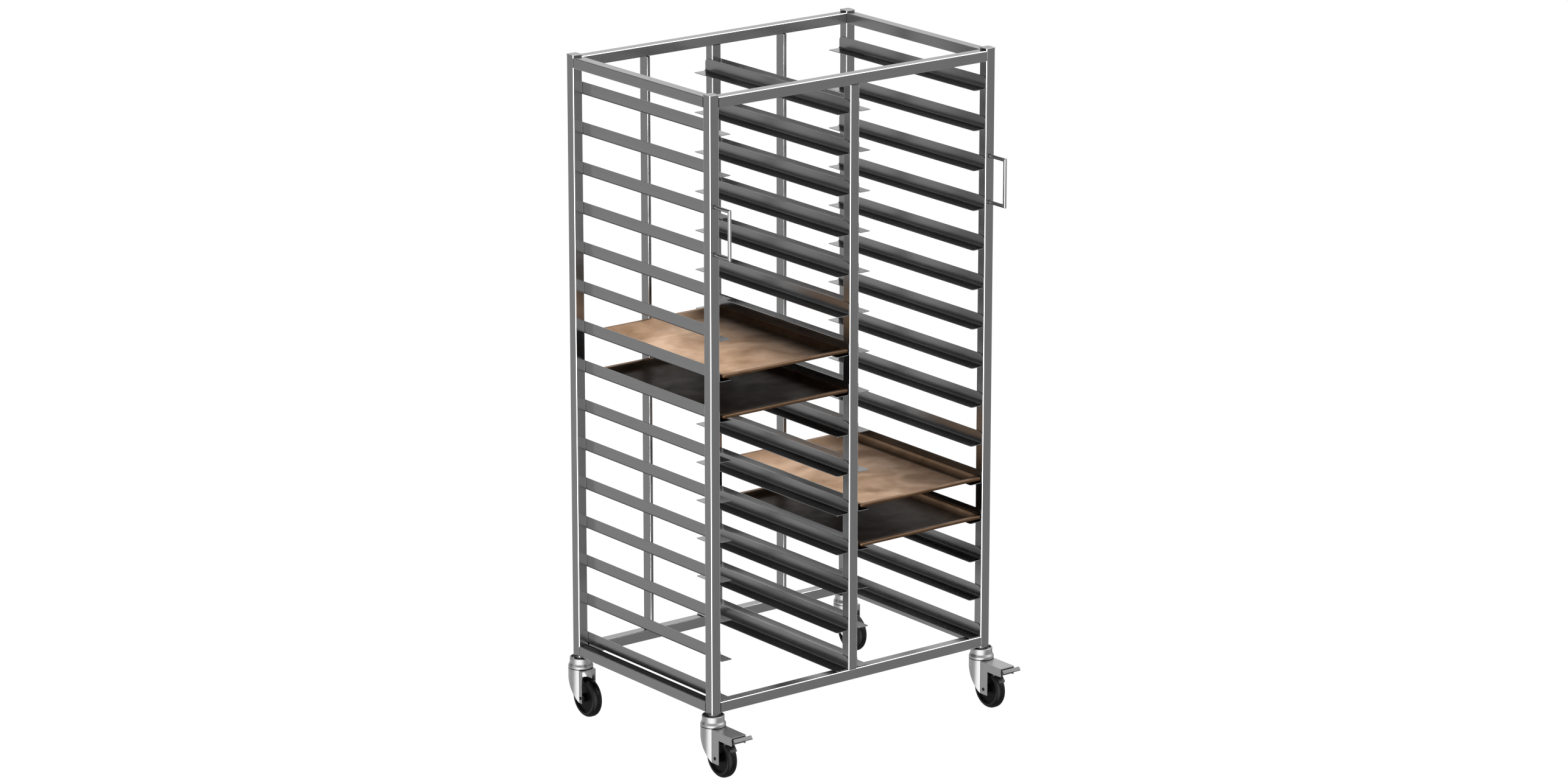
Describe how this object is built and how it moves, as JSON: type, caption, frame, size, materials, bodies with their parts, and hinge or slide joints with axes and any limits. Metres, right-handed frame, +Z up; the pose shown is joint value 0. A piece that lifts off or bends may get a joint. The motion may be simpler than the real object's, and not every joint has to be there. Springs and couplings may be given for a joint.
{
  "type": "double tray trolley",
  "caption": "Tall open frame of square steel tube on swivel casters with two side-by-side bays of ledges that carry sliding trays, with push handles.",
  "frame": {"origin": "middle of the whole trolley's box on the floor, under the middle of the frame to within 3 mm sideways and 41 mm behind it, because the brake pedals stand out in front", "axes": "+Z up, +X to the trolley's right seen from in front, -Y to the front, where the handles and the brake pedals are"},
  "size_m": [0.942, 0.719, 1.75],
  "materials": {
    "frame_steel": "satin-polished stainless steel tube",
    "slide_steel": "satin stainless steel sheet, bent",
    "handle_steel": "polished stainless steel rod",
    "caster_plate": "bright zinc-plated and polished pressed steel",
    "ball_steel": "hardened steel balls, greased",
    "sleeve_rubber": "moulded black rubber",
    "wheel_plastic": "moulded black nylon, smooth",
    "tyre": "smooth black elastic rubber, glossy",
    "tray_coating": "dark bronze non-stick coating, smooth and shiny"
  },
  "bodies": {
    "root": {"corner_post_front_left": "frame_steel", "corner_post_front_right": "frame_steel", "corner_post_rear_left": "frame_steel", "corner_post_rear_right": "frame_steel", "post_caps": "frame_steel", "top_rail_front": "frame_steel", "top_rail_rear": "frame_steel", "top_rail_left": "frame_steel", "top_rail_right": "frame_steel", "bottom_rail_front": "frame_steel", "bottom_rail_rear": "frame_steel", "bottom_rail_left": "frame_steel", "bottom_rail_right": "frame_steel", "centre_post_front": "frame_steel", "centre_post_rear": "frame_steel", "stop_post_left": "frame_steel", "stop_post_right": "frame_steel", "slides_left_bay_left": "slide_steel", "slides_left_bay_right": "slide_steel", "slides_right_bay_left": "slide_steel", "slides_right_bay_right": "slide_steel", "handle_left": "handle_steel", "handle_right": "handle_steel", "swivel_balls": "ball_steel", "expander_sleeves": "sleeve_rubber", "caster_head_front_left": "caster_plate", "caster_stem_front_left": "caster_plate", "caster_head_front_right": "caster_plate", "caster_stem_front_right": "caster_plate", "caster_head_rear_left": "caster_plate", "caster_stem_rear_left": "caster_plate", "caster_head_rear_right": "caster_plate", "caster_stem_rear_right": "caster_plate"},
    "fork_front_left": {"caster_fork_front_left": "caster_plate", "axle_front_left": "caster_plate", "brake_pins_left": "caster_plate"},
    "wheel_front_left": {"wheel_front_left": "wheel_plastic", "tyre_front_left": "tyre"},
    "fork_front_right": {"caster_fork_front_right": "caster_plate", "axle_front_right": "caster_plate", "brake_pins_right": "caster_plate"},
    "wheel_front_right": {"wheel_front_right": "wheel_plastic", "tyre_front_right": "tyre"},
    "fork_rear_left": {"caster_fork_rear_left": "caster_plate", "axle_rear_left": "caster_plate"},
    "wheel_rear_left": {"wheel_rear_left": "wheel_plastic", "tyre_rear_left": "tyre"},
    "fork_rear_right": {"caster_fork_rear_right": "caster_plate", "axle_rear_right": "caster_plate"},
    "wheel_rear_right": {"wheel_rear_right": "wheel_plastic", "tyre_rear_right": "tyre"},
    "pedal_left": {"brake_pedal_left": "caster_plate"},
    "strap_left": {"brake_strap_left": "caster_plate"},
    "pedal_right": {"brake_pedal_right": "caster_plate"},
    "strap_right": {"brake_strap_right": "caster_plate"},
    "tray_left_upper": {"tray_left_upper": "tray_coating"},
    "tray_left_lower": {"tray_left_lower": "tray_coating"},
    "tray_right_upper": {"tray_right_upper": "tray_coating"},
    "tray_right_lower": {"tray_right_lower": "tray_coating"}
  },
  "joints": [
    {"name": "swivel_front_left", "type": "hinge", "parent": "root", "child": "fork_front_left", "pos_m": [-0.4385, -0.245, 0.123], "axis": [0, 0, 1], "continuous": true},
    {"name": "roll_front_left", "type": "hinge", "parent": "fork_front_left", "child": "wheel_front_left", "pos_m": [-0.4385, -0.2815, 0.0525], "axis": [1, 0, 0], "continuous": true},
    {"name": "swivel_front_right", "type": "hinge", "parent": "root", "child": "fork_front_right", "pos_m": [0.4335, -0.245, 0.123], "axis": [0, 0, 1], "continuous": true},
    {"name": "roll_front_right", "type": "hinge", "parent": "fork_front_right", "child": "wheel_front_right", "pos_m": [0.4335, -0.2815, 0.0525], "axis": [1, 0, 0], "continuous": true},
    {"name": "swivel_rear_left", "type": "hinge", "parent": "root", "child": "fork_rear_left", "pos_m": [-0.4385, 0.327, 0.123], "axis": [0, 0, 1], "continuous": true},
    {"name": "roll_rear_left", "type": "hinge", "parent": "fork_rear_left", "child": "wheel_rear_left", "pos_m": [-0.4385, 0.2975, 0.0525], "axis": [1, 0, 0], "continuous": true},
    {"name": "swivel_rear_right", "type": "hinge", "parent": "root", "child": "fork_rear_right", "pos_m": [0.4335, 0.327, 0.123], "axis": [0, 0, 1], "continuous": true},
    {"name": "roll_rear_right", "type": "hinge", "parent": "fork_rear_right", "child": "wheel_rear_right", "pos_m": [0.4335, 0.2975, 0.0525], "axis": [1, 0, 0], "continuous": true},
    {"name": "pedal_press_left", "type": "hinge", "parent": "fork_front_left", "child": "pedal_left", "pos_m": [-0.4385, -0.315, 0.1155], "axis": [1, 0, 0], "range_deg": [0, 10]},
    {"name": "strap_clamp_left", "type": "hinge", "parent": "fork_front_left", "child": "strap_left", "pos_m": [-0.4385, -0.301, 0.11], "axis": [1, 0, 0], "range_deg": [0, 2.5]},
    {"name": "pedal_press_right", "type": "hinge", "parent": "fork_front_right", "child": "pedal_right", "pos_m": [0.4335, -0.315, 0.1155], "axis": [1, 0, 0], "range_deg": [0, 10]},
    {"name": "strap_clamp_right", "type": "hinge", "parent": "fork_front_right", "child": "strap_right", "pos_m": [0.4335, -0.301, 0.11], "axis": [1, 0, 0], "range_deg": [0, 2.5]},
    {"name": "slide_out_left_upper", "type": "slide", "parent": "root", "child": "tray_left_upper", "axis": [0, -1, 0], "range_m": [-0.023, 0.5]},
    {"name": "slide_out_left_lower", "type": "slide", "parent": "root", "child": "tray_left_lower", "axis": [0, -1, 0], "range_m": [-0.023, 0.5]},
    {"name": "slide_out_right_upper", "type": "slide", "parent": "root", "child": "tray_right_upper", "axis": [0, -1, 0], "range_m": [-0.023, 0.5]},
    {"name": "slide_out_right_lower", "type": "slide", "parent": "root", "child": "tray_right_lower", "axis": [0, -1, 0], "range_m": [-0.023, 0.5]}
  ],
  "couplings": [
    {"joint": "strap_clamp_left", "follows": "pedal_press_left", "ratio": 0.24},
    {"joint": "strap_clamp_right", "follows": "pedal_press_right", "ratio": 0.24}
  ]
}
